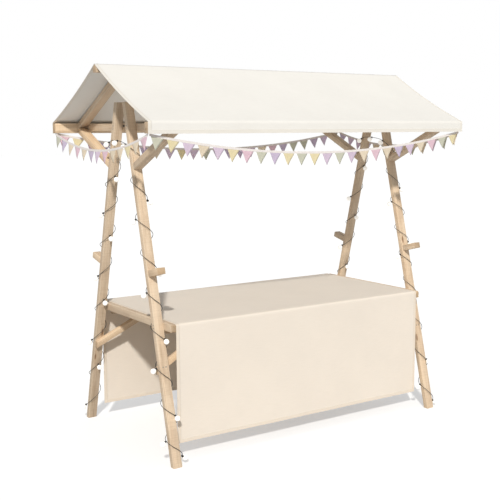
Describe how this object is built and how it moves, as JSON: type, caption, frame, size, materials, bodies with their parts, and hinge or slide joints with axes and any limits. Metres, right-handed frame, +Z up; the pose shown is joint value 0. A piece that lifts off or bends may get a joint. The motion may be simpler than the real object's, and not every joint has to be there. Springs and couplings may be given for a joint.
{
  "type": "market stall",
  "caption": "Open wooden market stall on two leaning leg frames, with a cloth-covered pitched roof, a draped trestle table, wound string lights and bunting.",
  "frame": {"origin": "on the ground under the middle of the stall", "axes": "+Z up, +X along the ridge towards the right end seen from the serving side, -Y towards the customer"},
  "size_m": [2.51, 1.372, 2.432],
  "materials": {
    "frame_wood": "sawn softwood, planed, unpainted, knots and faint growth rings",
    "bunting_cloth": "cream cotton tape with thin cotton pennants in faded pastel colours",
    "bulb": "opal white globe lamps",
    "cable": "matt black lighting flex with moulded sockets",
    "roof_cloth": "plain cream canvas, close weave",
    "board_wood": "planed softwood boards, unpainted",
    "table_cloth": "plain cream cotton cloth, close weave"
  },
  "bodies": {
    "root": {"arm_back_left": "frame_wood", "arm_back_right": "frame_wood", "arm_front_left": "frame_wood", "arm_front_right": "frame_wood", "bunting_back": "bunting_cloth", "bunting_front": "bunting_cloth", "bunting_left": "bunting_cloth", "bunting_right": "bunting_cloth", "eave_rail_back": "frame_wood", "eave_rail_front": "frame_wood", "knee_brace_back_left": "frame_wood", "knee_brace_back_right": "frame_wood", "knee_brace_front_left": "frame_wood", "knee_brace_front_right": "frame_wood", "leg_back_left": "frame_wood", "leg_back_right": "frame_wood", "leg_front_left": "frame_wood", "leg_front_right": "frame_wood", "light_bulbs_left": "bulb", "light_bulbs_right": "bulb", "light_cable_left": "cable", "light_cable_right": "cable", "rafter_back_left": "frame_wood", "rafter_back_right": "frame_wood", "rafter_front_left": "frame_wood", "rafter_front_right": "frame_wood", "ridge_beam": "frame_wood", "roof_cover": "roof_cloth", "table_bearer_left": "frame_wood", "table_bearer_right": "frame_wood", "table_boards": "board_wood", "table_brace_back_left": "frame_wood", "table_brace_back_right": "frame_wood", "table_brace_front_left": "frame_wood", "table_brace_front_right": "frame_wood", "table_cloth": "table_cloth", "table_rail_back": "frame_wood", "table_rail_front": "frame_wood", "tie_beam_left": "frame_wood", "tie_beam_right": "frame_wood"}
  },
  "joints": []
}
